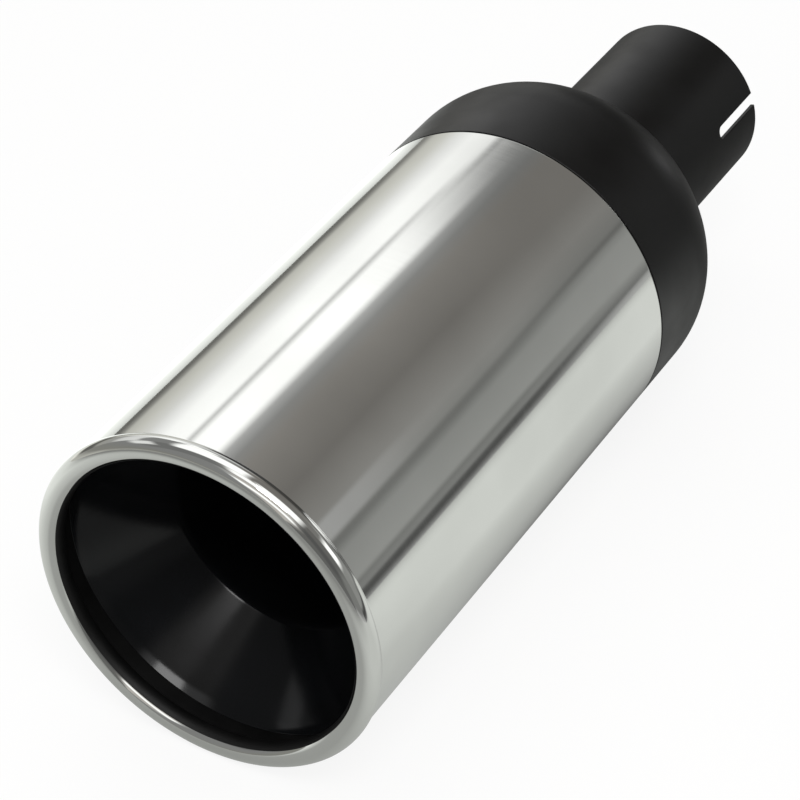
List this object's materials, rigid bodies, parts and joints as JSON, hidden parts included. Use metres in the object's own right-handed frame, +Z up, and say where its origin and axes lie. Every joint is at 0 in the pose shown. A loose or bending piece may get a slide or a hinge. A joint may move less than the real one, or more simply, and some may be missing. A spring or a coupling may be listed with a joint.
{
  "type": "exhaust tip",
  "caption": "Round double-wall exhaust tip: polished sleeve with a rolled lip, black funnel inside, domed black rear cap and a slotted black clamp-on neck.",
  "frame": {"origin": "centre of the neck's open end, on the tip's axis, where it is clamped on the tailpipe", "axes": "+Y along the axis, out of the neck towards the car's pipe; -Y out of the mouth; +Z up as fitted"},
  "size_m": [0.1028, 0.28, 0.1028],
  "materials": {
    "polished_stainless": "stainless steel sheet, mirror polished, black paint inside the roll of the lip",
    "matt_black_paint": "matt heat-resistant black paint",
    "gloss_black_paint": "satin to gloss black coating"
  },
  "bodies": {
    "root": {"outer_sleeve": "polished_stainless", "rear_cap": "matt_black_paint", "inlet_neck": "matt_black_paint", "inner_funnel": "gloss_black_paint", "neck_weld": "matt_black_paint"}
  },
  "joints": []
}
